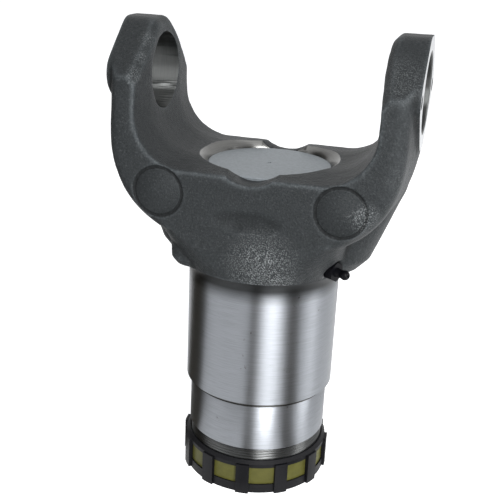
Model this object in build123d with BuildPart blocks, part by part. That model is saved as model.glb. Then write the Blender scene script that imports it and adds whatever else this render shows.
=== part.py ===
from build123d import *
import math
import os

# Splined slip yoke of a heavy drive shaft, with its plug, dust cap, seal ring and grease fitting.
# Millimetres, +Z up. The origin is on the barrel's axis, at the lower face of the dust cap.
# X runs along the cross bore. The forging's parting plane is Y = 0, and it draws along Y.

# Joint: the cross bore and the machined ear faces
joint_height = 273.5
bore_radius = 24.6
bore_chamfer = 0.8
ear_span = 191.7
screw_spacing = 70.6
screw_drill_radius = 4.25
screw_depth = 20.0

# Ear pads, rounded hexagons seen along X, in heights above and below the joint axis
pad_top = 34.0
pad_top_half = 11.7
pad_side = 2.0
pad_side_half = 49.0
pad_low = 34.0
pad_corner = 14.0

# Forged outline seen along Y, in depths below the joint axis
front_draft = 4.2
back_draft = 1.5
arm_inset = 0.45
arm_bend_start = 31.0
arm_bend_radius = 80.0
arm_lean = 22.5
cheek_swell = 5.0
cheek_full_depth = 48.0
cheek_flare_radius = 80.0
cheek_bend_radius = 60.0
cheek_toe_angle = 57.0
cheek_toe = 8.0
arm_edge_radius = 9.0

# Space between the ears
gap_draft = 6.0
ear_thickness = 26.35
gap_depth = 45.5
gap_corner = 27.0
trough_sink = 3.4
trough_radius = 300.0
trough_reach = 30.0
ear_bevel = 4.4

# Full-round web under each arm
web_top_depth = 60.0
web_top_inset = 4.8
web_top_radius = 29.0
heel_depth = 109.5
heel_reach = 16.1
heel_radius = 25.3
web_foot_reach = 8.1
web_foot_radius = 24.5

# Hub, neck and barrel
hub_depth = 118.0
hub_low_radius = 55.2
hub_top_depth = 87.0
hub_top_half = 60.0
hub_top_corner = 12.0
hub_low_flat = 0.8
crease_depth = 79.0
crease_sink = 2.8
crease_radius = 12.0
crease_sweep = 98.8
boss_angle = -141.0
boss_radius = 12.0
boss_foot_reach = 61.5
boss_edge_depth = 112.5
boss_reach = 66.0
boss_top_reach = 67.0
neck_rise = 6.1
barrel_radius = 50.8
barrel_shoulder = 67.7
barrel_chamfer = 0.8
step_radius = 47.7
thread_length = 22.5
thread_radius = 46.6

# Inside of the barrel
spline_teeth = 16
spline_major = 38.1
spline_minor = 34.0
spline_space = 7.9
spline_depth = 75.0
relief_radius = 38.6
mouth_radius = 39.5
mouth_length = 15.5

# Plug and its flared seat in the crotch
plug_radius = 40.3
plug_thickness = 3.2
plug_edge = 0.6
plug_vent_radius = 1.25
plug_fit = 0.1
seat_depth = 57.2
lead_depth = 54.0
lead_flare = 5.5
scallop_radius = 25.0
scallop_axis_depth = 31.0

# Round marks on the front and back cheeks
mark_x = 57.2
mark_depth = 65.8
mark_radius = 14.5
mark_groove = 2.2
mark_sink = 1.1
mark_face_sink = 0.35

# Grease fitting, in distances from the barrel's axis and along its own
fitting_angle = -29.0
fitting_depth = 112.0
fitting_seat = 55.6
fitting_thread_radius = 3.9
fitting_thread_fit = 0.05
fitting_shank = 8.0
spot_radius = 7.4
spot_reach = 75.0
collar_radius = 4.9
collar_length = 1.0
fitting_hex = 11.1
fitting_hex_length = 5.5
fitting_hex_edge = 0.5
nozzle_length = 9.0
nozzle_neck_radius = 2.5
nozzle_radius = 3.2
nozzle_head = 2.6
nozzle_tip_radius = 1.9
nozzle_lip = 0.9
mouth_hole_radius = 0.9
chamber_radius = 1.7
chamber_length = 13.0
channel_radius = 1.1
ball_radius = 1.5
ball_fit = 0.05
spring_wire_radius = 0.22
spring_fit = 0.08
spring_turns = 5

# Dust cap, a cage with windows and grip ribs
cap_radius = 50.0
cap_wall = 1.0
cap_height = 24.2
cap_floor = 4.5
cap_floor_hole = 42.0
cap_rim = 3.0
cap_rim_fit = 0.4
cap_rim_bevel = 2.1
cap_windows = 12
cap_window_angle = 20.0
cap_window_low = 6.5
cap_window_high = 19.5
cap_window_first = 20.0
rib_angle = 10.0
rib_height = 1.8

# Seal ring inside the cap
seal_fit = 0.2
seal_lip_radius = 39.0
seal_step = 5.5
thread_fit = 0.05

# Levels and places that follow from the sizes above
barrel_end = cap_floor + seal_step
hub_level = joint_height - hub_depth
neck_level = hub_level - (hub_low_radius - barrel_radius) - neck_rise
thread_level = barrel_end + thread_length
ear_face = ear_span / 2
arm_half = ear_face - arm_inset
gap_half = ear_face - ear_thickness
cheek_half = pad_side_half + cheek_swell
over = 5.0
front_half = Plane.XZ
back_half = Plane(origin=(0, 0, 0), x_dir=(-1, 0, 0), z_dir=(0, 1, 0))
fitting_centre = Vector(0, 0, joint_height - fitting_depth)
fitting_direction = Vector(1, 0, 0).rotate(Axis.Z, fitting_angle)
fitting_plane = Plane(origin=fitting_centre, x_dir=(0, 0, 1), z_dir=fitting_direction)
fitting_section = Plane(
    origin=fitting_centre, x_dir=fitting_direction, z_dir=fitting_direction.cross(Vector(0, 0, 1))
)
fitting_axis = Axis(fitting_centre, fitting_direction)
boss_direction = Vector(1, 0, 0).rotate(Axis.Z, boss_angle)


def below(depth):
    """Height of a level that lies this far under the joint axis."""
    return joint_height - depth


def pad_points():
    """Corners of an ear pad, going round from the top."""
    high = joint_height + pad_top
    side = joint_height + pad_side
    low = below(pad_low)
    return [
        (pad_top_half, high),
        (pad_side_half, side),
        (pad_top_half, low),
        (-pad_top_half, low),
        (-pad_side_half, side),
        (-pad_top_half, high),
    ]


with BuildPart() as slip_yoke:
    # Arms and cheeks: one outline, drafted from the parting plane to the front and to the back
    top = joint_height + pad_top + over
    for half_plane, draft in ((front_half, front_draft), (back_half, back_draft)):
        with BuildSketch(half_plane):
            with BuildLine():
                shoulder = Line((arm_half, top), (arm_half, below(arm_bend_start)))
                bend = JernArc(shoulder @ 1, shoulder % 1, arm_bend_radius, -arm_lean)
                cheek = JernArc(bend @ 1, bend % 1, cheek_bend_radius, arm_lean - cheek_toe_angle)
                toe = Line(cheek @ 1, cheek @ 1 + (cheek % 1) * cheek_toe)
                Line(toe @ 1, (0, (toe @ 1).Y))
                Line((0, top), (arm_half, top))
                mirror(about=Plane.YZ)
            make_face()
        extrude(amount=cheek_half, taper=draft)

    # Side outline of the ears and cheeks, seen along X
    with BuildSketch(Plane.YZ) as outline:
        with BuildLine():
            Polyline(
                (pad_top_half, joint_height + pad_top),
                (pad_side_half, joint_height + pad_side),
                (cheek_half, below(cheek_full_depth)),
                (cheek_half, hub_level),
                (-cheek_half, hub_level),
                (-cheek_half, below(cheek_full_depth)),
                (-pad_side_half, joint_height + pad_side),
                (-pad_top_half, joint_height + pad_top),
                close=True,
            )
        make_face()
        flare_corners = outline.vertices().filter_by_position(
            Axis.Y, below(cheek_full_depth) - 1, below(cheek_full_depth) + 1
        )
        fillet(flare_corners, radius=cheek_flare_radius)
        top_corners = outline.vertices().group_by(Axis.Y)[-1]
        fillet(top_corners, radius=pad_corner)
    extrude(amount=ear_span, both=True, mode=Mode.INTERSECT)

    # Rounded outer corners of the arms and cheeks
    arm_corners = (
        slip_yoke.edges()
        .filter_by(lambda edge: abs(edge.center().X) > (toe @ 1).X)
        .filter_by(lambda edge: abs(edge.center().Y) > pad_side_half - over)
        .filter_by(lambda edge: abs(edge.tangent_at(0.5).Z) > 0.3)
    )
    fillet(arm_corners, radius=arm_edge_radius)

    # Webs: slots that shrink downwards and run round each nose
    for level, half_length, radius in (
        (below(web_top_depth), arm_half - web_top_inset, web_top_radius),
        (below(heel_depth), hub_low_radius + heel_reach, heel_radius),
        (hub_level, hub_low_radius + web_foot_reach, web_foot_radius),
    ):
        with BuildSketch(Plane.XY.offset(level)):
            SlotOverall(2 * half_length, 2 * radius)
    loft(ruled=True)

    # Hub: a rounded block under the cheeks that draws in to a circle at its foot
    with BuildSketch(Plane.XY.offset(below(hub_top_depth))):
        RectangleRounded(2 * hub_top_half, 2 * cheek_half, hub_top_corner)
    with BuildSketch(Plane.XY.offset(hub_level)):
        RectangleRounded(2 * hub_low_radius, 2 * hub_low_radius, hub_low_radius - hub_low_flat)
    loft(ruled=True)

    # Shallow creases where the cheeks meet the hub, in the middle of the front and of the back
    crease_face = cheek_half - crease_sink
    for side in (-1, 1):
        with BuildSketch(Plane.YZ):
            with Locations((side * (crease_face + crease_radius), below(crease_depth))):
                Circle(crease_radius)
        pivot = Vector(0, side * (crease_face + crease_sweep), 0)
        revolve(axis=Axis(pivot, (0, 0, 1)), mode=Mode.SUBTRACT)

    # Boss like the one under the grease fitting, left as forged
    for depth, reach in (
        (hub_depth, boss_foot_reach),
        (boss_edge_depth, boss_reach),
        (hub_top_depth, boss_top_reach),
    ):
        boss_plane = Plane(origin=(0, 0, below(depth)), x_dir=boss_direction, z_dir=(0, 0, 1))
        with BuildSketch(boss_plane):
            with Locations((reach / 2, 0)):
                SlotOverall(reach, 2 * boss_radius)
    loft(ruled=True)

    # Ear pads, which stand out of the drafted arms
    for pad_plane, length in (
        (Plane.YZ.offset(gap_half), ear_face - gap_half),
        (Plane.YZ.offset(-gap_half), gap_half - ear_face),
    ):
        with BuildSketch(pad_plane) as pad:
            with BuildLine():
                Polyline(*pad_points(), close=True)
            make_face()
            fillet(pad.vertices(), radius=pad_corner)
        extrude(amount=length)

    # Space between the ears, drafted the other way
    with BuildSketch(front_half, back_half) as gap:
        with BuildLine():
            gap_floor = below(gap_depth)
            Polyline(
                (-gap_half, gap_floor),
                (gap_half, gap_floor),
                (gap_half, top),
                (-gap_half, top),
                close=True,
            )
        make_face()
        fillet(gap.vertices().filter_by_position(Axis.Y, gap_floor - 1, gap_floor + 1), gap_corner)
    extrude(amount=cheek_half + over, taper=-gap_draft, mode=Mode.SUBTRACT)

    # Shallow trough round the middle of that space, from one bore down and up to the other
    trough_half = gap_half + trough_sink
    trough_corner = gap_corner + trough_sink
    with BuildLine(Plane.XZ) as trough_path:
        FilletPolyline(
            (-trough_half, top),
            (-trough_half, gap_floor - trough_sink),
            (trough_half, gap_floor - trough_sink),
            (trough_half, top),
            radius=trough_corner,
        )
    with BuildSketch(Plane(origin=(-trough_half, 0, top), x_dir=(0, 1, 0), z_dir=(0, 0, -1))):
        with BuildLine():
            trough_rise = trough_radius - math.sqrt(trough_radius**2 - trough_reach**2)
            ThreePointArc((-trough_reach, trough_rise), (0, 0), (trough_reach, trough_rise))
            Polyline(
                (trough_reach, trough_rise),
                (trough_reach, trough_rise + over),
                (-trough_reach, trough_rise + over),
                (-trough_reach, trough_rise),
            )
        make_face()
    sweep(path=trough_path.line, mode=Mode.SUBTRACT)

    # Bevels along the sloping upper edges of the ears, on their inner side
    inner_slopes = (
        slip_yoke.edges()
        .filter_by(lambda edge: edge.center().Z > joint_height + pad_side)
        .filter_by(lambda edge: abs(edge.center().X) < gap_half + 2 * over)
        .filter_by(lambda edge: pad_top_half < abs(edge.center().Y) < pad_side_half)
    )
    chamfer(inner_slopes, length=ear_bevel)

    # Turned neck and barrel
    with BuildSketch(Plane.XZ):
        with BuildLine():
            neck_foot = Vector(barrel_radius, neck_level)
            Line((0, hub_level), (hub_low_radius, hub_level))
            TangentArc(neck_foot, (hub_low_radius, hub_level), tangent=(0, 1))
            Polyline(
                neck_foot,
                (barrel_radius, barrel_shoulder + barrel_chamfer),
                (barrel_radius - barrel_chamfer, barrel_shoulder),
                (step_radius, barrel_shoulder),
                (step_radius, thread_level),
                (thread_radius, thread_level),
                (thread_radius, barrel_end),
                (0, barrel_end),
                (0, hub_level),
            )
        make_face()
    revolve(axis=Axis.Z)

    # Inside, from the flared plug seat down to the mouth
    with BuildSketch(Plane.XZ):
        with BuildLine():
            seat_radius = plug_radius + plug_fit
            flare_top = seat_radius + lead_flare + over
            Polyline(
                (0, below(lead_depth - lead_flare - over)),
                (flare_top, below(lead_depth - lead_flare - over)),
                (seat_radius, below(lead_depth)),
                (seat_radius, below(seat_depth)),
                (relief_radius, below(seat_depth)),
                (relief_radius, below(spline_depth)),
                (spline_minor, below(spline_depth)),
                (spline_minor, barrel_end + mouth_length),
                (mouth_radius, barrel_end + mouth_length),
                (mouth_radius, barrel_end - over),
                (0, barrel_end - over),
                close=True,
            )
        make_face()
    revolve(axis=Axis.Z, mode=Mode.SUBTRACT)

    # Spline spaces, broached between the teeth from the mouth to the relief
    with BuildSketch(Plane.XY.offset(barrel_end + mouth_length - over)):
        with PolarLocations(0, spline_teeth, start_angle=180 / spline_teeth):
            Rectangle(spline_major, spline_space, align=(Align.MIN, Align.CENTER))
        Circle(spline_minor - over, mode=Mode.SUBTRACT)
        Circle(spline_major, mode=Mode.INTERSECT)
    extrude(
        amount=below(spline_depth) - barrel_end - mouth_length + 2 * over, mode=Mode.SUBTRACT
    )

    # Scallop through the front and back walls of the crotch
    with BuildSketch(Plane.XZ):
        with Locations((0, below(scallop_axis_depth))):
            Circle(scallop_radius)
    extrude(amount=cheek_half + over, both=True, mode=Mode.SUBTRACT)

    # Cross bores, with small chamfers at both faces of each ear
    with BuildSketch(Plane.YZ):
        with Locations((0, joint_height)):
            Circle(bore_radius)
    extrude(amount=ear_face + over, both=True, mode=Mode.SUBTRACT)
    bore_rims = (
        slip_yoke.edges()
        .filter_by(GeomType.CIRCLE)
        .filter_by(lambda edge: abs(abs(edge.center().X) - ear_face) < bore_chamfer)
        .filter_by(lambda edge: abs(edge.radius - bore_radius) < bore_chamfer)
    )
    chamfer(bore_rims, length=bore_chamfer)

    # Tapped holes for the bearing plates, two in each ear face
    for side in (-1, 1):
        screw_plane = Plane(origin=(side * ear_face, 0, 0), x_dir=(0, side, 0), z_dir=(side, 0, 0))
        with BuildSketch(screw_plane):
            with Locations((screw_spacing / 2, joint_height), (-screw_spacing / 2, joint_height)):
                Circle(screw_drill_radius)
        extrude(amount=-screw_depth, mode=Mode.SUBTRACT)

    # Round marks on the cheeks: a sunk face inside a deeper groove
    with BuildSketch(front_half.offset(cheek_half), back_half.offset(cheek_half)):
        with Locations((mark_x, below(mark_depth)), (-mark_x, below(mark_depth))):
            Circle(mark_radius + mark_groove)
    extrude(amount=-mark_face_sink, mode=Mode.SUBTRACT)
    with BuildSketch(front_half.offset(cheek_half), back_half.offset(cheek_half)):
        with Locations((mark_x, below(mark_depth)), (-mark_x, below(mark_depth))):
            Circle(mark_radius + mark_groove)
            Circle(mark_radius, mode=Mode.SUBTRACT)
    extrude(amount=-mark_sink, mode=Mode.SUBTRACT)

    # Spot face and hole of the grease fitting
    with BuildSketch(fitting_plane.offset(fitting_seat)):
        Circle(spot_radius)
    extrude(amount=spot_reach - fitting_seat, mode=Mode.SUBTRACT)
    with BuildSketch(fitting_plane.offset(spline_minor - over)):
        Circle(fitting_thread_radius + fitting_thread_fit)
    extrude(amount=fitting_seat, mode=Mode.SUBTRACT)


with BuildPart() as welch_plug:
    # Pressed disc with an eased edge and a vent hole
    with BuildSketch(Plane.XY.offset(below(seat_depth))):
        Circle(plug_radius)
        Circle(plug_vent_radius, mode=Mode.SUBTRACT)
    extrude(amount=plug_thickness)
    plug_rim = welch_plug.edges().filter_by(GeomType.CIRCLE).group_by(Axis.Z)[-1].sort_by(
        SortBy.RADIUS
    )[-1]
    chamfer(plug_rim, length=plug_edge)


with BuildPart() as dust_cap:
    # Cage: a floor flange, a thin wall and a bevelled rim round the thread
    cap_rim_hole = thread_radius + cap_rim_fit
    cap_bore = cap_radius - cap_wall
    with BuildSketch(Plane.XZ):
        with BuildLine():
            Polyline(
                (cap_floor_hole, 0),
                (cap_radius, 0),
                (cap_radius, cap_height - cap_rim_bevel),
                (cap_rim_hole + cap_wall, cap_height),
                (cap_rim_hole, cap_height),
                (cap_rim_hole, cap_height - cap_rim),
                (cap_bore, cap_height - cap_rim),
                (cap_bore, cap_floor),
                (cap_floor_hole, cap_floor),
                close=True,
            )
        make_face()
    revolve(axis=Axis.Z)

    # Windows round the wall
    window_half = cap_radius * 2 * math.tan(math.radians(cap_window_angle / 2))
    with BuildSketch(Plane.XY.offset(cap_window_low)):
        with PolarLocations(0, cap_windows, start_angle=cap_window_first):
            Polygon(
                (0, 0), (2 * cap_radius, -window_half), (2 * cap_radius, window_half), align=None
            )
        Circle(cap_radius + rib_height + over, mode=Mode.INTERSECT)
        Circle(cap_bore - over, mode=Mode.SUBTRACT)
    extrude(amount=cap_window_high - cap_window_low, mode=Mode.SUBTRACT)

    # Grip ribs between the windows
    rib_half = cap_radius * 2 * math.tan(math.radians(rib_angle / 2))
    with BuildSketch(Plane.XY):
        with PolarLocations(0, cap_windows, start_angle=cap_window_first + 180 / cap_windows):
            Polygon((0, 0), (2 * cap_radius, -rib_half), (2 * cap_radius, rib_half), align=None)
        Circle(cap_radius + rib_height, mode=Mode.INTERSECT)
        Circle(cap_radius - cap_wall / 2, mode=Mode.SUBTRACT)
    extrude(amount=cap_height - cap_rim_bevel)


with BuildPart() as seal_ring:
    # Threaded above its step, and a lip below that wipes the shaft
    seal_radius = cap_bore - seal_fit
    seal_top = cap_height - cap_rim - seal_fit
    with BuildSketch(Plane.XZ):
        with BuildLine():
            Polyline(
                (seal_lip_radius, cap_floor),
                (seal_radius, cap_floor),
                (seal_radius, seal_top),
                (thread_radius + thread_fit, seal_top),
                (thread_radius + thread_fit, barrel_end),
                (seal_lip_radius, barrel_end),
                close=True,
            )
        make_face()
    revolve(axis=Axis.Z)


with BuildPart() as grease_fitting:
    # Turned body: shank, collar, nozzle, and the chamber of the ball and spring
    hex_start = fitting_seat + collar_length
    hex_end = hex_start + fitting_hex_length
    nozzle_end = hex_end + nozzle_length
    ball_seat_end = nozzle_end - nozzle_lip
    ball_seat_start = ball_seat_end - (chamber_radius - mouth_hole_radius)
    chamber_start = ball_seat_start - chamber_length
    shank_end = fitting_seat - fitting_shank
    with BuildSketch(fitting_section):
        with BuildLine():
            Polyline(
                (shank_end, channel_radius),
                (shank_end, fitting_thread_radius),
                (fitting_seat, fitting_thread_radius),
                (fitting_seat, collar_radius),
                (hex_end, collar_radius),
                (hex_end, nozzle_radius),
                (nozzle_end - nozzle_head - nozzle_radius, nozzle_neck_radius),
                (nozzle_end - nozzle_head, nozzle_radius),
            )
            tip = Line((nozzle_end, nozzle_tip_radius), (nozzle_end, mouth_hole_radius))
            RadiusArc((nozzle_end - nozzle_head, nozzle_radius), tip @ 0, nozzle_radius)
            Polyline(
                (nozzle_end, mouth_hole_radius),
                (ball_seat_end, mouth_hole_radius),
                (ball_seat_start, chamber_radius),
                (chamber_start, chamber_radius),
                (chamber_start, channel_radius),
                (shank_end, channel_radius),
            )
        make_face()
    revolve(axis=fitting_axis)
    with BuildSketch(fitting_plane.offset(hex_start)):
        RegularPolygon(fitting_hex / 2, 6, major_radius=False)
        Circle(collar_radius - fitting_hex_edge, mode=Mode.SUBTRACT)
    extrude(amount=fitting_hex_length)


with BuildPart() as fitting_ball:
    # Check ball, a hair behind its 45 degree seat
    ball_centre = ball_seat_end + mouth_hole_radius - (ball_radius + ball_fit) * math.sqrt(2)
    with BuildSketch(fitting_section):
        with Locations((ball_centre, 0)):
            Circle(ball_radius)
        with Locations((ball_centre, -ball_radius)):
            Rectangle(2 * ball_radius, 2 * ball_radius, mode=Mode.SUBTRACT)
    revolve(axis=fitting_axis)


with BuildPart() as fitting_spring:
    # Spring between the chamber's step and the ball
    coil_radius = chamber_radius - spring_fit - spring_wire_radius
    contact = ball_radius + spring_wire_radius + spring_fit
    coil_start = chamber_start + spring_wire_radius + spring_fit
    coil_end = ball_centre - math.sqrt(contact**2 - coil_radius**2)
    coil_length = coil_end - coil_start
    coil = Helix(
        pitch=coil_length / spring_turns,
        height=coil_length,
        radius=coil_radius,
        center=fitting_centre + fitting_direction * coil_start,
        direction=fitting_direction,
    )
    with BuildSketch(Plane(origin=coil @ 0, z_dir=coil % 0)):
        RegularPolygon(spring_wire_radius, 6)
    sweep(path=coil, is_frenet=True)


slip_yoke.part.label = "slip_yoke"
welch_plug.part.label = "welch_plug"
dust_cap.part.label = "dust_cap"
seal_ring.part.label = "seal_ring"
grease_fitting.part.label = "grease_fitting"
fitting_ball.part.label = "fitting_ball"
fitting_spring.part.label = "fitting_spring"

os.makedirs("parts", exist_ok=True)
export_step(slip_yoke.part, "parts/slip_yoke.step")
export_step(welch_plug.part, "parts/welch_plug.step")
export_step(dust_cap.part, "parts/dust_cap.step")
export_step(seal_ring.part, "parts/seal_ring.step")
export_step(grease_fitting.part, "parts/grease_fitting.step")
export_step(fitting_ball.part, "parts/fitting_ball.step")
export_step(fitting_spring.part, "parts/fitting_spring.step")
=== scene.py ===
import math

import bmesh
import bpy
from mathutils import Matrix, Vector, noise


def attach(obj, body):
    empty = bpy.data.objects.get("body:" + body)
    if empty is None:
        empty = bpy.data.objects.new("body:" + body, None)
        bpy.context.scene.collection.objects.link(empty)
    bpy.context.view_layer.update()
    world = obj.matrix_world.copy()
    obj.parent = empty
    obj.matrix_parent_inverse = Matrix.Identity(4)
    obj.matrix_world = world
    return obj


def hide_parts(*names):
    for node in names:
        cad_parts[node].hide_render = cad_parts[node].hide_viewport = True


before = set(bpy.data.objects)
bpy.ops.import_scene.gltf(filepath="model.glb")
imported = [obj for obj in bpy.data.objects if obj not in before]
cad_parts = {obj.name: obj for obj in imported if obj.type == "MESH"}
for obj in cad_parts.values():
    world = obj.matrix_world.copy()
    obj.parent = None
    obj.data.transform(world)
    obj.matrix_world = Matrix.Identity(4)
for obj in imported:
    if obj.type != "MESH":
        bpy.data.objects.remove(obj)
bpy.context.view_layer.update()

# Camera, found by fitting the joint's known sizes to the photograph
CAMERA_PLACE = (0.1325, -0.5521, 0.3658)
CAMERA_YAW = math.radians(14.53)
CAMERA_PITCH = math.radians(20.09)
CAMERA_ROLL = math.radians(2.66)
FOCAL_PIXELS = 894.27
PHOTO_PIXELS = 500
SENSOR = 36.0

# Studio, in metres and degrees
WORLD_LIGHT = (0.36, 0.37, 0.39, 1)
FLOOR_SIZE = 60.0
FLOOR_COLOR = (0.8, 0.8, 0.8)
FLOOR_GLOW = 0.75
FLAG_COLOR = (0.045, 0.035, 0.02)
FLAG_LIFT = 0.001
# Dark flags: from and to which azimuth, near and far reach, and height
FLAGS = [
    (-42, -20, 0.06, 1.2, 1.6),
    (-93, -79, 0.06, 1.2, 1.4),
    (75, 120, 0.06, 0.5, 0.05),
    (150, 195, 0.06, 1.2, 1.2),
]

# The yoke's sizes, in millimetres, as in the CAD part
MM = 0.001
JOINT = 273.5
EAR_FACE = 95.85
BORE_RADIUS = 24.6
BORE_CHAMFER = 0.8
SCREW_HALF = 35.3
SCREW_RADIUS = 4.25
SCREW_DEPTH = 20.0
PAD_CORNERS = [(11.7, 34), (49, 2), (11.7, -34), (-11.7, -34), (-49, 2), (-11.7, 34)]
PAD_ROUND = 14.0
HUB_LEVEL = 155.5
HUB_RADIUS = 55.2
NECK_LEVEL = 145.0
BARREL_RADIUS = 50.8
CORE_RADIUS = 39.2
SEAT_RADIUS = 40.4
SEAT_LEVEL = 216.3
LEAD_LEVEL = 219.5
FLARE = 12.0
SCALLOP_RADIUS = 25.0
SCALLOP_LEVEL = 242.5
GAP_FLOOR = 228.0
GAP_SLOPE = math.tan(math.radians(6))
TROUGH_FLOOR = 224.6
TROUGH_RADIUS = 300.0
CHEEK = 54.0
MARK_X = 57.2
MARK_LEVEL = 207.7
MARK_RADIUS = 14.5
MARK_GROOVE = 2.2
MARK_SINK = 1.1
MARK_FACE_SINK = 0.35
FITTING_ANGLE = math.radians(-29)
FITTING_LEVEL = 161.5
FITTING_SEAT = 55.6
SPOT_RADIUS = 7.4
BARREL_CHAMFER = 0.8
SHOULDER = 67.7
STEP_RADIUS = 47.7
MOUTH_RADIUS = 39.5
THREAD_RADIUS = 46.6
THREAD_LOW = 10.0
THREAD_TOP = 32.5

# Finer forms that only the scene has, in millimetres
MARK_BEVEL = 0.5
MARK_FLARE = 1.2
RELIEF = 0.5
RELIEF_HEIGHT = 2.6
STEP_CHAMFER = 0.3
SHADING_RING = 0.4
THREAD_PITCH = 2.0
THREAD_DEPTH = 0.95
NECK_STEPS = 10

# Fills over the machined places, in millimetres: from where to where each reaches, and its radius
FILL_SPARE = 0.15
PAD_FILL = (88.0, EAR_FACE + 3.5)
BORE_FILL = (73.3, 92.0)
SCREW_FILL = (74.0, 92.0)
MARK_FILL_DEPTH = 4.0
MARK_FILL_SPARE = 0.5
FOOT_FILL = (138.0, 157.0)
CORE_FILL = (130.0, 220.0)
CORE_FILL_RADIUS = 42.0
CROTCH_FILL_RADIUS = 46.5
CROTCH_FILL_LOW = 205.0
CROTCH_FILL_RINGS = 8

# The skin: its voxels, softening, and swells as height and spread, in millimetres
VOXEL = 1.45
SOFTEN_FACTOR = 0.5
SOFTEN_PASSES = 5
SWELLS = [(0.16, 9.0), (0.1, 3.5)]
SKIN_SINK = 0.12

# Cutting tools, in millimetres: how far they reach past the metal, and where they start and end
PAST_FACE = 3.0
FACE_BLOCK = [(-80, -90), (80, -90), (80, 60), (-80, 60)]
FACE_BLOCK_DEPTH = 20.0
BORE_START = 60.0
PAST_CHEEK = 2.0
CORE_START = 120.0
SCALLOP_HALF = 70.0
SPOT_END = 75.0
UNDER_HUB_START = -10.0
UNDER_HUB_RADIUS = 110.0

# Corners on a full circle, and rows of faces to a turn of the thread
ROUND = 256
BORE_ROUND = 128
MARK_ROUND = 96
FILL_ROUND = 64
SPOT_ROUND = 64
SCREW_ROUND = 32
SCREW_FILL_ROUND = 24
THREAD_ROUND = 144
THREAD_ROWS_PER_TURN = 8

# How near to a machined surface a face's middle has to lie to belong to it, in millimetres
SLACK = 0.05
EAR_SLACK = 0.03
SEAT_SLACK = 0.12
# The plug's seat starts this far under its level, and ends within this radius
SEAT_UNDER = 0.5
SEAT_REACH = 50.0
# A face that looks more than this along X isn't the bore's wall
FLAT_ON = 0.8
# Edges that bend more than this are sharp
SHARP_ANGLE = math.radians(32)
# Vertices of the CAD mesh nearer than this are one, in metres
WELD = 0.000002

# Abrasion and painted light: pale on edges that bend outwards, partly abrasion and partly painted
# highlight; dark in corners, which is painted shade
WEAR_AND_LIGHT_GAIN = 2.0
WEAR_AND_LIGHT_LEVEL = 0.5
WEAR_AND_LIGHT_PASSES = 2
# A shorter edge counts as this long, in millimetres, and a larger face, in square ones, is a flat cut
SHORT_EDGE = 0.3
LARGE_FACE = 4.0
# Places where the skin gets pale specks, partly from rubbing and partly a painted sheen on the hub's
# front: centre, reach in millimetres, amount
RUBBED_AND_SHEEN = [
    ((12, -58, 168), 27, 0.85),
    ((22, -54, 158), 18, 0.9),
    ((82, -48, 298), 28, 0.65),
    ((72, -56, 206), 12, 0.8),
    ((90, -40, 232), 18, 0.25),
    ((-73, -27, 300), 10, 0.85),
    ((-73, -38, 290), 10, 0.85),
    ((-73, -48, 279), 10, 0.85),
]

# Colour ramps, as places and colours
SKIN_TONES = [
    (0.34, (0.013, 0.015, 0.016)),
    (0.6, (0.024, 0.0265, 0.028)),
    (0.78, (0.065, 0.07, 0.072)),
]
# Edge tones: painted shade in inward corners; paler on outward edges, partly abrasion and partly painted
# highlight
EDGE_TONES = [(0.36, (0.5,) * 3), (0.48, (1,) * 3), (0.56, (1.15,) * 3), (0.8, (3.2,) * 3)]
SPECKS = [(0.5, (0, 0, 0)), (0.66, (1, 1, 1))]
SPECK_COLOR = (0.28, 0.295, 0.3, 1)
STAINS = [(0.27, (0.45, 0.42, 0.4)), (0.33, (1, 1, 1))]
# Painted shade under the hub's overhang: the barrel's steel darkens towards the hub, from and to which
# level in millimetres, and how far
NECK_PAINTED_SHADE = (139, 149, (0.14, 0.14, 0.135))

# The Mix node's sockets for colours
MIX_FACTOR, MIX_ONE, MIX_TWO, MIX_RESULT = 0, 6, 7, 2

# The yoke's surfaces, in the order of its materials
SKIN, TURNED, BORED, INSIDE, MILLED, SHADED_SHOULDER, SEAT, THREAD = range(8)


def link(obj):
    bpy.context.scene.collection.objects.link(obj)
    return obj


# Stage

def add_camera():
    data = bpy.data.cameras.new("camera")
    data.sensor_width = SENSOR
    data.lens = FOCAL_PIXELS / PHOTO_PIXELS * SENSOR
    camera = link(bpy.data.objects.new("camera", data))
    level_reach = math.cos(CAMERA_PITCH)
    back = Vector(
        (math.sin(CAMERA_YAW) * level_reach, -math.cos(CAMERA_YAW) * level_reach, math.sin(CAMERA_PITCH))
    )
    right = (-back).cross(Vector((0, 0, 1))).normalized()
    up = right.cross(-back)
    rolled_right = right * math.cos(CAMERA_ROLL) + up * math.sin(CAMERA_ROLL)
    rolled_up = up * math.cos(CAMERA_ROLL) - right * math.sin(CAMERA_ROLL)
    axes = Matrix((rolled_right, rolled_up, back)).transposed()
    camera.matrix_world = Matrix.Translation(CAMERA_PLACE) @ axes.to_4x4()
    bpy.context.scene.camera = camera


def add_lamp(name, place, aim, size, power):
    """A soft box, which the camera doesn't see."""
    data = bpy.data.lights.new(name, "AREA")
    data.shape = "RECTANGLE"
    data.size, data.size_y = size
    data.energy = power
    lamp = link(bpy.data.objects.new(name, data))
    lamp.location = place
    lamp.visible_camera = False
    lamp.rotation_euler = (Vector(aim) - Vector(place)).to_track_quat("-Z", "Y").to_euler()


def add_lamps():
    add_lamp("key", place=(0.55, -1.0, 0.6), aim=(0, 0, 0.12), size=(0.45, 0.9), power=23)
    add_lamp("side", place=(1.15, 0.05, 0.4), aim=(0, 0, 0.1), size=(0.35, 0.7), power=5)
    add_lamp("fill", place=(-1.4, -0.6, 1.3), aim=(0, 0, 0.15), size=(1.2, 1.2), power=5)
    add_lamp("top", place=(-0.2, 0.5, 1.5), aim=(0, 0, 0.2), size=(1.0, 1.0), power=2.5)


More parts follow.
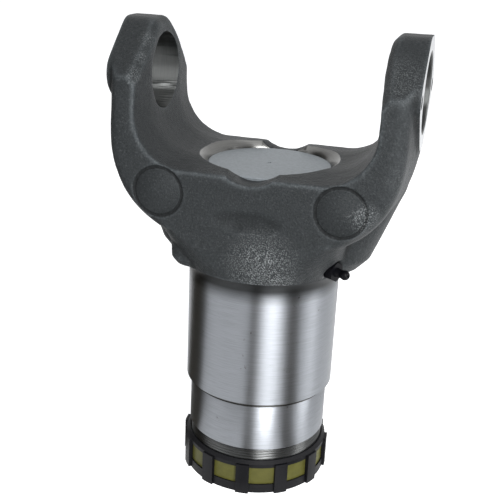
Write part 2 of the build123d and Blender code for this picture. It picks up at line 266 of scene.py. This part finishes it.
def add_world():
    """Soft grey light, on a white background."""
    world = bpy.data.worlds.new("world")
    world.use_nodes = True
    tree = world.node_tree
    soft = tree.nodes["Background"]
    soft.inputs["Color"].default_value = WORLD_LIGHT
    white = add_node(tree, "ShaderNodeBackground")
    white.inputs["Color"].default_value = (1, 1, 1, 1)
    mix = add_node(tree, "ShaderNodeMixShader")
    feed(tree, mix.inputs["Fac"], seen(tree))
    feed(tree, mix.inputs[1], soft.outputs["Background"])
    feed(tree, mix.inputs[2], white.outputs["Background"])
    feed(tree, tree.nodes["World Output"].inputs["Surface"], mix.outputs["Shader"])
    bpy.context.scene.world = world


def add_floor():
    """A pale floor, white to the camera apart from the object's shadow."""
    bpy.ops.mesh.primitive_plane_add(size=FLOOR_SIZE, location=(0, 0, 0))
    floor = bpy.context.object
    floor.name = "floor"
    made = material("floor", FLOOR_COLOR, 0, 0.9)
    tree = made.node_tree
    glow = add_node(tree, "ShaderNodeEmission")
    feed(tree, glow.inputs["Strength"], calculated(tree, "MULTIPLY", seen(tree), FLOOR_GLOW))
    both = add_node(tree, "ShaderNodeAddShader")
    feed(tree, both.inputs[0], shader_of(made).outputs["BSDF"])
    feed(tree, both.inputs[1], glow.outputs["Emission"])
    feed(tree, tree.nodes["Material Output"].inputs["Surface"], both.outputs["Shader"])
    floor.data.materials.append(made)


def add_flag(first, last, near, far, height):
    """A dark studio flag round the object, which only shows in the metal's reflections."""
    points = []
    for turn in (first, last):
        angle = math.radians(turn)
        for reach, level in ((near, FLAG_LIFT), (far, FLAG_LIFT), (far, height)):
            points.append((reach * math.cos(angle), reach * math.sin(angle), level))
    mesh = bpy.data.meshes.new("flag")
    mesh.from_pydata(points, [], [(0, 1, 4, 3), (1, 2, 5, 4)])
    mesh.materials.append(material("flag", FLAG_COLOR, 0, 1))
    flag = link(bpy.data.objects.new("flag", mesh))
    flag.visible_camera = False
    flag.visible_diffuse = False
    flag.visible_shadow = False


# Nodes

def add_node(tree, kind, **values):
    node = tree.nodes.new(kind)
    for key, value in values.items():
        setattr(node, key, value)
    return node


def feed(tree, socket, value):
    """Gives an input another node's output, or a plain value."""
    if isinstance(value, bpy.types.NodeSocket):
        tree.links.new(value, socket)
    else:
        socket.default_value = value


def calculated(tree, operation, one, two, clamp=False):
    node = add_node(tree, "ShaderNodeMath", operation=operation, use_clamp=clamp)
    feed(tree, node.inputs[0], one)
    feed(tree, node.inputs[1], two)
    return node.outputs["Value"]


def seen(tree):
    """One for rays from the camera and for its reflections and refractions."""
    path = add_node(tree, "ShaderNodeLightPath").outputs
    either = calculated(tree, "ADD", path["Is Camera Ray"], path["Is Glossy Ray"])
    return calculated(tree, "ADD", either, path["Is Transmission Ray"], clamp=True)


def mixed(tree, factor, one, two, blend="MIX"):
    node = add_node(tree, "ShaderNodeMix", data_type="RGBA", blend_type=blend)
    feed(tree, node.inputs[MIX_FACTOR], factor)
    feed(tree, node.inputs[MIX_ONE], one)
    feed(tree, node.inputs[MIX_TWO], two)
    return node.outputs[MIX_RESULT]


def place_in_part(tree):
    """The place on the part, in its own metres."""
    return add_node(tree, "ShaderNodeTexCoord").outputs["Object"]


def grain(tree, scale, detail=3.0, rough=0.6, stretch=None):
    """A noise over the part, which stretch squeezes along each axis."""
    place = place_in_part(tree)
    if stretch:
        mapping = add_node(tree, "ShaderNodeMapping")
        feed(tree, mapping.inputs["Scale"], stretch)
        feed(tree, mapping.inputs["Vector"], place)
        place = mapping.outputs["Vector"]
    texture = add_node(tree, "ShaderNodeTexNoise")
    feed(tree, texture.inputs["Scale"], scale)
    feed(tree, texture.inputs["Detail"], detail)
    feed(tree, texture.inputs["Roughness"], rough)
    feed(tree, texture.inputs["Vector"], place)
    return texture.outputs["Fac"]


def ramp(tree, factor, stops):
    node = add_node(tree, "ShaderNodeValToRGB")
    band = node.color_ramp
    while len(band.elements) < len(stops):
        band.elements.new(0.5)
    for element, (place, color) in zip(band.elements, stops):
        element.position = place
        element.color = (*color, 1)
    feed(tree, node.inputs["Fac"], factor)
    return node.outputs["Color"]


def bump(tree, height, distance, strength, under=None):
    """A bumped normal, on top of the one under it."""
    node = add_node(tree, "ShaderNodeBump")
    feed(tree, node.inputs["Strength"], strength)
    feed(tree, node.inputs["Distance"], distance)
    feed(tree, node.inputs["Height"], height)
    if under:
        feed(tree, node.inputs["Normal"], under)
    return node.outputs["Normal"]


def attribute(tree, name):
    return add_node(tree, "ShaderNodeAttribute", attribute_name=name).outputs["Fac"]


# Materials

def shader_of(made):
    return made.node_tree.nodes["Principled BSDF"]


def material(name, color, metallic, roughness):
    made = bpy.data.materials.new(name)
    made.use_nodes = True
    shader = shader_of(made)
    shader.inputs["Base Color"].default_value = (*color, 1)
    shader.inputs["Metallic"].default_value = metallic
    shader.inputs["Roughness"].default_value = roughness
    return made


def forged_skin():
    """Blasted forged steel: dark, with pale specks that gather on its edges and its places of rubbing. Its
    outward edges are paler, partly abrasion and partly painted highlight, its corners darker as painted
    shade, and the specks on the hub's front are a painted sheen.
    """
    made = material("forged_skin", (0.04, 0.043, 0.046), 0.35, 0.5)
    tree = made.node_tree
    inputs = shader_of(made).inputs
    inputs["Specular IOR Level"].default_value = 0.15
    fine = grain(tree, scale=800, detail=4, rough=0.7)
    # Paler outward edges, partly abrasion and partly painted highlight, and painted shade in the corners
    edges = ramp(tree, attribute(tree, "wear_and_painted_light"), EDGE_TONES)
    worn_and_painted_light = mixed(tree, 1, ramp(tree, fine, SKIN_TONES), edges, "MULTIPLY")
    specks = ramp(tree, grain(tree, scale=1500, detail=2, rough=0.5), SPECKS)
    # Pale specks from rubbing, which on the hub's front are a painted sheen
    amount = calculated(tree, "MULTIPLY", attribute(tree, "rubbed_and_sheen"), specks)
    feed(tree, inputs["Base Color"], mixed(tree, amount, worn_and_painted_light, SPECK_COLOR))
    close = bump(tree, fine, distance=0.0007, strength=0.8)
    broad = grain(tree, scale=220, detail=3, rough=0.6)
    feed(tree, inputs["Normal"], bump(tree, broad, distance=0.0012, strength=0.35, under=close))
    return made


def turned_steel(name, axis, color, roughness, stretch, painted_shade=None):
    """Turned or bored steel, which blurs across its tool marks and may get painted shade towards one end.
    """
    made = material(name, color, 1.0, roughness)
    tree = made.node_tree
    inputs = shader_of(made).inputs
    inputs["Anisotropic"].default_value = 0.88
    inputs["Anisotropic Rotation"].default_value = 0.25
    tangent = add_node(tree, "ShaderNodeTangent", direction_type="RADIAL", axis=axis)
    feed(tree, inputs["Tangent"], tangent.outputs["Tangent"])
    lathed = grain(tree, scale=60, detail=4, rough=0.7, stretch=stretch)
    streaks = ramp(tree, lathed, [(0.3, tuple(0.8 * channel for channel in color)), (0.6, color)])
    stains = ramp(tree, grain(tree, scale=110, detail=4, rough=0.7), STAINS)
    colors = mixed(tree, 1, streaks, stains, "MULTIPLY")
    if painted_shade:
        low, high, shade_color = painted_shade
        height = add_node(tree, "ShaderNodeSeparateXYZ")
        feed(tree, height.inputs[0], place_in_part(tree))
        span = add_node(tree, "ShaderNodeMapRange")
        feed(tree, span.inputs["From Min"], low * MM)
        feed(tree, span.inputs["From Max"], high * MM)
        feed(tree, span.inputs["Value"], height.outputs["Z"])
        # Painted shade: the steel darkens towards the hub, under its overhang
        shaded_ramp = ramp(tree, span.outputs["Result"], [(0, (1, 1, 1)), (1, shade_color)])
        colors = mixed(tree, 1, colors, shaded_ramp, "MULTIPLY")
    feed(tree, inputs["Base Color"], colors)
    feed(tree, inputs["Normal"], bump(tree, lathed, distance=0.00008, strength=0.3))
    return made


def plain_grain(name, color, metallic, roughness, scale, depth, strength, specular=0.5):
    """A plain colour that varies a little, with a fine grain."""
    made = material(name, color, metallic, roughness)
    tree = made.node_tree
    inputs = shader_of(made).inputs
    inputs["Specular IOR Level"].default_value = specular
    low = tuple(0.9 * channel for channel in color)
    high = tuple(min(1, 1.08 * channel) for channel in color)
    feed(tree, inputs["Base Color"], ramp(tree, grain(tree, scale / 6), [(0.35, low), (0.65, high)]))
    feed(tree, inputs["Normal"], bump(tree, grain(tree, scale), depth, strength))
    return made


def yoke_materials():
    """One for each of the yoke's surfaces, in their order."""
    return [
        forged_skin(),
        # The barrel's steel gets painted shade under the hub
        turned_steel("turned_steel", "Z", (0.235, 0.247, 0.265), 0.42, (1, 1, 30), NECK_PAINTED_SHADE),
        turned_steel("bored_steel", "X", (0.085, 0.088, 0.087), 0.42, (30, 1, 1)),
        turned_steel("inside_steel", "Z", (0.3, 0.31, 0.32), 0.4, (1, 1, 10)),
        material("milled_steel", (0.5, 0.51, 0.52), 1.0, 0.32),
        # Painted shade: a dark copy of the turned steel for the step's relief, the shoulder and the
        # barrel's chamfer, where the shoulder's shadow line falls
        turned_steel("shoulder_painted_shade", "Z", (0.06, 0.06, 0.058), 0.45, (1, 1, 30)),
        turned_steel("seat_steel", "Z", (0.17, 0.17, 0.165), 0.3, (1, 1, 30)),
        turned_steel("thread_steel", "Z", (0.08, 0.082, 0.082), 0.35, (1, 1, 30)),
    ]


def pressed_steel():
    return plain_grain("pressed_steel", (0.2, 0.22, 0.235), 0.6, 0.5, 3000, 0.0001, 0.1)


def black_plastic():
    return plain_grain("black_plastic", (0.003, 0.003, 0.004), 0.0, 0.5, 1500, 0.0002, 0.25, specular=0.15)


def olive_seal():
    return plain_grain("olive_seal", (0.068, 0.066, 0.014), 0.0, 0.5, 1500, 0.0002, 0.2, specular=0.2)


def fitting_steel():
    return plain_grain("fitting_steel", (0.003, 0.003, 0.004), 0.0, 0.35, 2000, 0.0001, 0.2, specular=0.06)


def other_materials():
    """One for each of the smaller nodes."""
    return {
        "welch_plug": pressed_steel(),
        "dust_cap": black_plastic(),
        "seal_ring": olive_seal(),
        "grease_fitting": fitting_steel(),
        "fitting_ball": material("ball_steel", (0.6, 0.6, 0.6), 1.0, 0.2),
        "fitting_spring": material("spring_steel", (0.5, 0.5, 0.5), 1.0, 0.3),
    }


# Shapes, from points in millimetres

def shape(name, points, faces, matrix=Matrix()):
    """A closed mesh with its faces outwards."""
    mesh = bpy.data.meshes.new(name)
    mesh.from_pydata([matrix @ Vector(point) * MM for point in points], [], faces)
    cleaned = bmesh.new()
    cleaned.from_mesh(mesh)
    bmesh.ops.recalc_face_normals(cleaned, faces=cleaned.faces)
    cleaned.to_mesh(mesh)
    cleaned.free()
    return mesh


def circle(radius, level, count):
    angles = [2 * math.pi * step / count for step in range(count)]
    return [(radius * math.cos(angle), radius * math.sin(angle), level) for angle in angles]


def closed_rings(name, first, rings, last, matrix=Matrix()):
    """A closed mesh from rings of points, between a first and a last point."""
    count = len(rings[0])
    points = [first] + [point for ring in rings for point in ring] + [last]
    end = len(points) - 1
    faces = []
    for step in range(count):
        ahead = (step + 1) % count
        faces.append((0, 1 + step, 1 + ahead))
        for near in range(1, end - count, count):
            far = near + count
            faces.append((near + step, far + step, far + ahead, near + ahead))
        faces.append((end - count + step, end, end - count + ahead))
    return shape(name, points, faces, matrix)


def open_rings(name, rings):
    """An open mesh between rings of points, from the lowest ring up, which faces outwards."""
    count = len(rings[0])
    faces = []
    for near in range(0, count * (len(rings) - 1), count):
        far = near + count
        for step in range(count):
            ahead = (step + 1) % count
            faces.append((near + step, near + ahead, far + ahead, far + step))
    mesh = bpy.data.meshes.new(name)
    mesh.from_pydata([Vector(point) * MM for ring in rings for point in ring], [], faces)
    return mesh


def lathe(name, profile, matrix=Matrix(), count=ROUND):
    """A solid of revolution about Z. The profile's first and last points are on the axis."""
    rings = [circle(radius, level, count) for radius, level in profile[1:-1]]
    return closed_rings(name, (0, 0, profile[0][1]), rings, (0, 0, profile[-1][1]), matrix)


def rod(name, radius, low, high, matrix=Matrix(), count=FILL_ROUND):
    """A cylinder along Z."""
    return lathe(name, [(0, low), (radius, low), (radius, high), (0, high)], matrix, count)


def prism(name, outline, low, high, matrix=Matrix()):
    """An outline in XY, extruded along Z from low to high."""
    count = len(outline)
    points = [(*point, low) for point in outline] + [(*point, high) for point in outline]
    faces = [tuple(range(count)), tuple(range(2 * count - 1, count - 1, -1))]
    for step in range(count):
        ahead = (step + 1) % count
        faces.append((step, ahead, count + ahead, count + step))
    return shape(name, points, faces, matrix)


def rounded(corners, radius, steps=8):
    """The outline with each corner as an arc."""
    outline = []
    for index, corner in enumerate(corners):
        here = Vector(corner)
        before = (Vector(corners[index - 1]) - here).normalized()
        after = (Vector(corners[(index + 1) % len(corners)]) - here).normalized()
        half = before.angle(after) / 2
        centre = here + (before + after).normalized() * radius / math.sin(half)
        start = here + before * radius / math.tan(half) - centre
        end = here + after * radius / math.tan(half) - centre
        for step in range(steps + 1):
            outline.append(tuple(centre + start.slerp(end, step / steps) * radius))
    return outline


def along_x(side):
    """Takes Z to the side's own X, and XY to the ear's face."""
    return Matrix(((0, 0, side, 0), (side, 0, 0, 0), (0, 1, 0, JOINT), (0, 0, 0, 1)))


def screw_hole_place(side, end):
    return along_x(side) @ Matrix.Translation((end * SCREW_HALF, 0, 0))


def along_y(x, level):
    """Takes Z to Y, at a place in the front view."""
    turn = Matrix(((1, 0, 0, 0), (0, 0, 1, 0), (0, -1, 0, 0), (0, 0, 0, 1)))
    return Matrix.Translation((x, 0, level)) @ turn


def along_fitting():
    """Takes Z to the grease fitting's own direction, outwards."""
    turn = Matrix(((0, 0, 1, 0), (1, 0, 0, 0), (0, 1, 0, 0), (0, 0, 0, 1)))
    return Matrix.Translation((0, 0, FITTING_LEVEL)) @ Matrix.Rotation(FITTING_ANGLE, 4, "Z") @ turn


# Meshes and objects

def joined(name, meshes):
    """One mesh from several, which may overlap."""
    whole = bmesh.new()
    for mesh in meshes:
        whole.from_mesh(mesh)
    data = bpy.data.meshes.new(name)
    whole.to_mesh(data)
    whole.free()
    return data


def cad_mesh(node):
    """A node's mesh, its split vertices joined."""
    welded = bmesh.new()
    welded.from_mesh(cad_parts[node].data)
    bmesh.ops.remove_doubles(welded, verts=welded.verts, dist=WELD)
    mesh = bpy.data.meshes.new(node + "_copy")
    welded.to_mesh(mesh)
    welded.free()
    return mesh


def apply_modifiers(obj):
    bpy.context.view_layer.update()
    graph = bpy.context.evaluated_depsgraph_get()
    mesh = bpy.data.meshes.new_from_object(obj.evaluated_get(graph))
    obj.modifiers.clear()
    obj.data = mesh


def cut(obj, tool_mesh):
    tool = link(bpy.data.objects.new("tool", tool_mesh))
    change = obj.modifiers.new("cut", "BOOLEAN")
    change.operation = "DIFFERENCE"
    change.solver = "MANIFOLD"
    change.object = tool
    apply_modifiers(obj)
    bpy.data.objects.remove(tool)


# The forging

def crotch_fill():
    """Plugs the hole in the crotch, level with the forged floor round it."""
    rings = []
    for ring in range(1, CROTCH_FILL_RINGS + 1):
        reach = CROTCH_FILL_RADIUS * ring / CROTCH_FILL_RINGS
        points = []
        for x, y, _ in circle(reach, 0, FILL_ROUND):
            trough = TROUGH_FLOOR + y * y / (2 * TROUGH_RADIUS)
            points.append((x, y, min(trough, GAP_FLOOR - GAP_SLOPE * abs(y))))
        rings.append(points)
    rings.append([(x, y, CROTCH_FILL_LOW) for x, y, _ in rings[-1]])
    return closed_rings("crotch_fill", (0, 0, TROUGH_FLOOR), rings, (0, 0, CROTCH_FILL_LOW))


def ear_fills(side):
    """Fills for one ear: its pad, bore and screw holes, and the two proof marks under it."""
    ear = along_x(side)
    fills = [
        prism("pad", rounded(PAD_CORNERS, PAD_ROUND), *PAD_FILL, ear),
        rod("bore_fill", BORE_RADIUS + FILL_SPARE, *BORE_FILL, ear),
    ]
    for end in (-1, 1):
        hole = screw_hole_place(side, end)
        fills.append(rod("screw_fill", SCREW_RADIUS + FILL_SPARE, *SCREW_FILL, hole, SCREW_FILL_ROUND))
    radius = MARK_RADIUS + MARK_GROOVE + MARK_FILL_SPARE
    for face in (-1, 1):
        low = face * (CHEEK - MARK_FILL_DEPTH)
        fills.append(rod("mark_fill", radius, low, face * CHEEK, along_y(side * MARK_X, MARK_LEVEL)))
    return fills


def unmachined():
    """The CAD form with its machining filled in."""
    fills = [cad_mesh("slip_yoke"), crotch_fill()] + ear_fills(-1) + ear_fills(1)
    fills.append(rod("foot_fill", HUB_RADIUS, *FOOT_FILL, count=ROUND))
    fills.append(rod("core_fill", CORE_FILL_RADIUS, *CORE_FILL))
    return joined("yoke_forging", fills)


def soften(obj):
    """Makes one even skin of the form, rounds its edges, and gives it slight swells."""
    remesh = obj.modifiers.new("skin", "REMESH")
    remesh.mode = "VOXEL"
    remesh.voxel_size = VOXEL * MM
    remesh.adaptivity = 0
    smooth = obj.modifiers.new("soften", "SMOOTH")
    smooth.factor = SOFTEN_FACTOR
    smooth.iterations = SOFTEN_PASSES
    apply_modifiers(obj)
    normals = [vertex.normal.copy() for vertex in obj.data.vertices]
    for vertex, normal in zip(obj.data.vertices, normals):
        place = vertex.co / MM
        swell = sum(height * noise.noise(place / spread) for height, spread in SWELLS)
        vertex.co += normal * (swell - SKIN_SINK) * MM


def mark_tool(side, face):
    """Cuts a round proof mark: a slightly sunk face in a groove."""
    flat, groove, past = CHEEK - MARK_FACE_SINK, CHEEK - MARK_SINK, CHEEK + PAST_CHEEK
    groove_end = MARK_RADIUS + MARK_GROOVE
    profile = [
        (0, face * flat),
        (MARK_RADIUS - MARK_BEVEL, face * flat),
        (MARK_RADIUS, face * groove),
        (groove_end - MARK_BEVEL, face * groove),
        (groove_end + MARK_FLARE, face * past),
        (0, face * past),
    ]
    return lathe("mark", profile, along_y(side * MARK_X, MARK_LEVEL), MARK_ROUND)


def ear_tools(side):
    """Mills one ear's face, bores it and drills it, and cuts the two proof marks under it."""
    ear = along_x(side)
    past = EAR_FACE + PAST_FACE
    bore = [
        (0, BORE_START),
        (BORE_RADIUS, BORE_START),
        (BORE_RADIUS, EAR_FACE - BORE_CHAMFER),
        (BORE_RADIUS + BORE_CHAMFER + PAST_FACE, past),
        (0, past),
    ]
    tools = [
        prism("face", FACE_BLOCK, EAR_FACE, EAR_FACE + FACE_BLOCK_DEPTH, ear),
        lathe("bore", bore, ear, BORE_ROUND),
    ]
    for end in (-1, 1):
        hole = screw_hole_place(side, end)
        tools.append(rod("screw_hole", SCREW_RADIUS, EAR_FACE - SCREW_DEPTH, past, hole, SCREW_ROUND))
    tools += [mark_tool(side, face) for face in (-1, 1)]
    return tools


def hub_tools():
    """Cut the plug's seat, the scallop, the fitting's spot face, and all below the hub."""
    seat = [
        (0, CORE_START),
        (CORE_RADIUS, CORE_START),
        (CORE_RADIUS, SEAT_LEVEL),
        (SEAT_RADIUS, SEAT_LEVEL),
        (SEAT_RADIUS, LEAD_LEVEL),
        (SEAT_RADIUS + FLARE, LEAD_LEVEL + FLARE),
        (0, LEAD_LEVEL + FLARE),
    ]
    scallop = along_y(0, SCALLOP_LEVEL)
    return [
        lathe("plug_seat", seat),
        rod("scallop", SCALLOP_RADIUS, -SCALLOP_HALF, SCALLOP_HALF, scallop, BORE_ROUND),
        rod("spot", SPOT_RADIUS, FITTING_SEAT, SPOT_END, along_fitting(), SPOT_ROUND),
        rod("under_hub", UNDER_HUB_RADIUS, UNDER_HUB_START, HUB_LEVEL),
    ]


def forging():
    """The forged skin: filled in, softened, then machined again to the exact sizes."""
    obj = link(bpy.data.objects.new("yoke_forging", unmachined()))
    soften(obj)
    for tool in ear_tools(-1) + ear_tools(1) + hub_tools():
        cut(obj, tool)
    return obj


# The turned end

def neck_curve():
    """The turned neck's arc, from the barrel up to the hub's foot."""
    run = HUB_RADIUS - BARREL_RADIUS
    rise = HUB_LEVEL - NECK_LEVEL
    radius = (run * run + rise * rise) / (2 * run)
    sweep = math.asin(rise / radius)
    angles = [sweep * step / NECK_STEPS for step in range(NECK_STEPS + 1)]
    return [
        (BARREL_RADIUS + radius * (1 - math.cos(angle)), NECK_LEVEL + radius * math.sin(angle))
        for angle in angles
    ]


def turned_outside():
    """The end face, step, barrel and neck, from the bottom up. A narrow ring ends the barrel's shading."""
    root = THREAD_RADIUS - THREAD_DEPTH
    relief = STEP_RADIUS - RELIEF
    strip = [
        (MOUTH_RADIUS, THREAD_LOW),
        (root, THREAD_LOW),
        (root, THREAD_TOP),
        (STEP_RADIUS - STEP_CHAMFER, THREAD_TOP),
        (STEP_RADIUS, THREAD_TOP + STEP_CHAMFER),
        (STEP_RADIUS, SHOULDER - RELIEF_HEIGHT),
        (relief, SHOULDER - RELIEF_HEIGHT + RELIEF),
        (relief, SHOULDER),
        (BARREL_RADIUS - BARREL_CHAMFER, SHOULDER),
        (BARREL_RADIUS, SHOULDER + BARREL_CHAMFER),
        (BARREL_RADIUS, NECK_LEVEL - SHADING_RING),
    ]
    return open_rings("outside", [circle(radius, level, ROUND) for radius, level in strip + neck_curve()])


def farthest(face):
    """The distance from the axis of the face's farthest corner, in millimetres."""
    return max(math.hypot(vert.co.x, vert.co.y) for vert in face.verts) / MM


def cad_inside():
    """The bore, spline and mouth, as they are in the CAD mesh."""
    inside = bmesh.new()
    inside.from_mesh(cad_mesh("slip_yoke"))
    drop = [face for face in inside.faces if farthest(face) > MOUTH_RADIUS + SLACK]
    bmesh.ops.delete(inside, geom=drop, context="FACES")
    mesh = bpy.data.meshes.new("inside")
    inside.to_mesh(mesh)
    inside.free()
    return mesh


def thread():
    """The fine thread as a helical surface, its crest at the CAD cylinder."""
    rows = round((THREAD_TOP - THREAD_LOW) / THREAD_PITCH * THREAD_ROWS_PER_TURN)
    rings = []
    for row in range(rows + 1):
        level = THREAD_LOW + (THREAD_TOP - THREAD_LOW) * row / rows
        points = []
        for step in range(THREAD_ROUND):
            turn = step / THREAD_ROUND
            phase = (level / THREAD_PITCH - turn) % 1
            radius = THREAD_RADIUS - THREAD_DEPTH * abs(2 * phase - 1)
            angle = 2 * math.pi * turn
            points.append((radius * math.cos(angle), radius * math.sin(angle), level))
        rings.append(points)
    return open_rings("thread", rings)


# The yoke's surfaces

def kind_of(centre, normal):
    """Which surface a face of the yoke belongs to."""
    radius = math.hypot(centre.x, centre.y)
    from_joint = math.hypot(centre.y, centre.z - JOINT)
    if abs(abs(centre.x) - EAR_FACE) < EAR_SLACK:
        return MILLED
    in_ear = abs(centre.x) > BORE_START and abs(normal.x) < FLAT_ON
    if in_ear and BORE_RADIUS - SLACK < from_joint < BORE_RADIUS + BORE_CHAMFER + SLACK:
        return BORED
    if radius < MOUTH_RADIUS and centre.z < SEAT_LEVEL + SLACK:
        return INSIDE
    flare = SEAT_RADIUS + max(0, centre.z - LEAD_LEVEL)
    if centre.z > SEAT_LEVEL - SEAT_UNDER and abs(radius - flare) < SEAT_SLACK and radius < SEAT_REACH:
        return SEAT
    if centre.z < HUB_LEVEL - SLACK and radius < HUB_RADIUS + SLACK:
        if centre.z < THREAD_TOP:
            return THREAD
        # The step's relief, the shoulder and the barrel's chamfer take the dark steel of painted shade
        in_groove = SHOULDER - RELIEF_HEIGHT < centre.z < SHOULDER + BARREL_CHAMFER
        return SHADED_SHOULDER if in_groove else TURNED
    cosine, sine = math.cos(FITTING_ANGLE), math.sin(FITTING_ANGLE)
    outwards = centre.x * cosine + centre.y * sine
    from_fitting = math.hypot(centre.y * cosine - centre.x * sine, centre.z - FITTING_LEVEL)
    if abs(outwards - FITTING_SEAT) < SLACK and from_fitting < SPOT_RADIUS:
        return MILLED
    return SKIN


def bends_of(mesh):
    """How sharply each vertex's surroundings bend: above zero outwards, below it inwards."""
    bends = [0.0] * len(mesh.vertices)
    counts = [0] * len(mesh.vertices)
    places = [vertex.co / MM for vertex in mesh.vertices]
    normals = [vertex.normal.copy() for vertex in mesh.vertices]
    for edge in mesh.edges:
        one, two = edge.vertices
        away = places[two] - places[one]
        length = max(away.length, SHORT_EDGE)
        bends[one] -= away.dot(normals[one]) / length
        bends[two] += away.dot(normals[two]) / length
        counts[one] += 1
        counts[two] += 1
    bends = [bend / max(count, 1) for bend, count in zip(bends, counts)]
    for _ in range(WEAR_AND_LIGHT_PASSES):
        spread = list(bends)
        for edge in mesh.edges:
            one, two = edge.vertices
            spread[one] += bends[two]
            spread[two] += bends[one]
        bends = [bend / (count + 1) for bend, count in zip(spread, counts)]
    return bends


def mark_edges(mesh):
    """Writes the abrasion and painted light at each corner: paler on outward edges, partly abrasion and
    partly painted highlight, and darker in inward corners as painted shade. A large face is a flat cut,
    which has none.
    """
    bends = bends_of(mesh)
    wear_and_painted_light = mesh.attributes.new("wear_and_painted_light", "FLOAT", "CORNER")
    for polygon in mesh.polygons:
        gain = WEAR_AND_LIGHT_GAIN if polygon.area < LARGE_FACE * MM * MM else 0
        for corner in polygon.loop_indices:
            bend = bends[mesh.loops[corner].vertex_index]
            wear_and_painted_light.data[corner].value = min(1, max(0, WEAR_AND_LIGHT_LEVEL + gain * bend))


def mark_rubbed_and_sheen(mesh):
    """Writes how much each vertex gets pale specks, partly from rubbing and partly as painted sheen, by
    its distance from the listed places.
    """
    rubbed_and_sheen = mesh.attributes.new("rubbed_and_sheen", "FLOAT", "POINT")
    for index, vertex in enumerate(mesh.vertices):
        place = vertex.co / MM
        rubbed_and_sheen.data[index].value = max(
            amount * max(0, 1 - (place - Vector(centre)).length / reach)
            for centre, reach, amount in RUBBED_AND_SHEEN
        )


def dress_yoke():
    skin = forging()
    skin.data = joined("yoke_forging", [skin.data, cad_inside(), turned_outside(), thread()])
    mesh = skin.data
    mesh.materials.clear()
    for made in yoke_materials():
        mesh.materials.append(made)
    for polygon in mesh.polygons:
        polygon.material_index = kind_of(polygon.center / MM, polygon.normal)
        polygon.use_smooth = True
    mesh.set_sharp_from_angle(angle=SHARP_ANGLE)
    mark_edges(mesh)
    mark_rubbed_and_sheen(mesh)
    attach(skin, "root")
    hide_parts("slip_yoke")


def dress_others():
    """The smaller pieces keep their CAD solids, and get their materials."""
    for name, made in other_materials().items():
        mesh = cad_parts[name].data
        mesh.materials.clear()
        mesh.materials.append(made)


add_camera()
bpy.context.scene.view_settings.view_transform = "Standard"
add_world()
add_floor()
add_lamps()
for sizes in FLAGS:
    add_flag(*sizes)
dress_yoke()
dress_others()
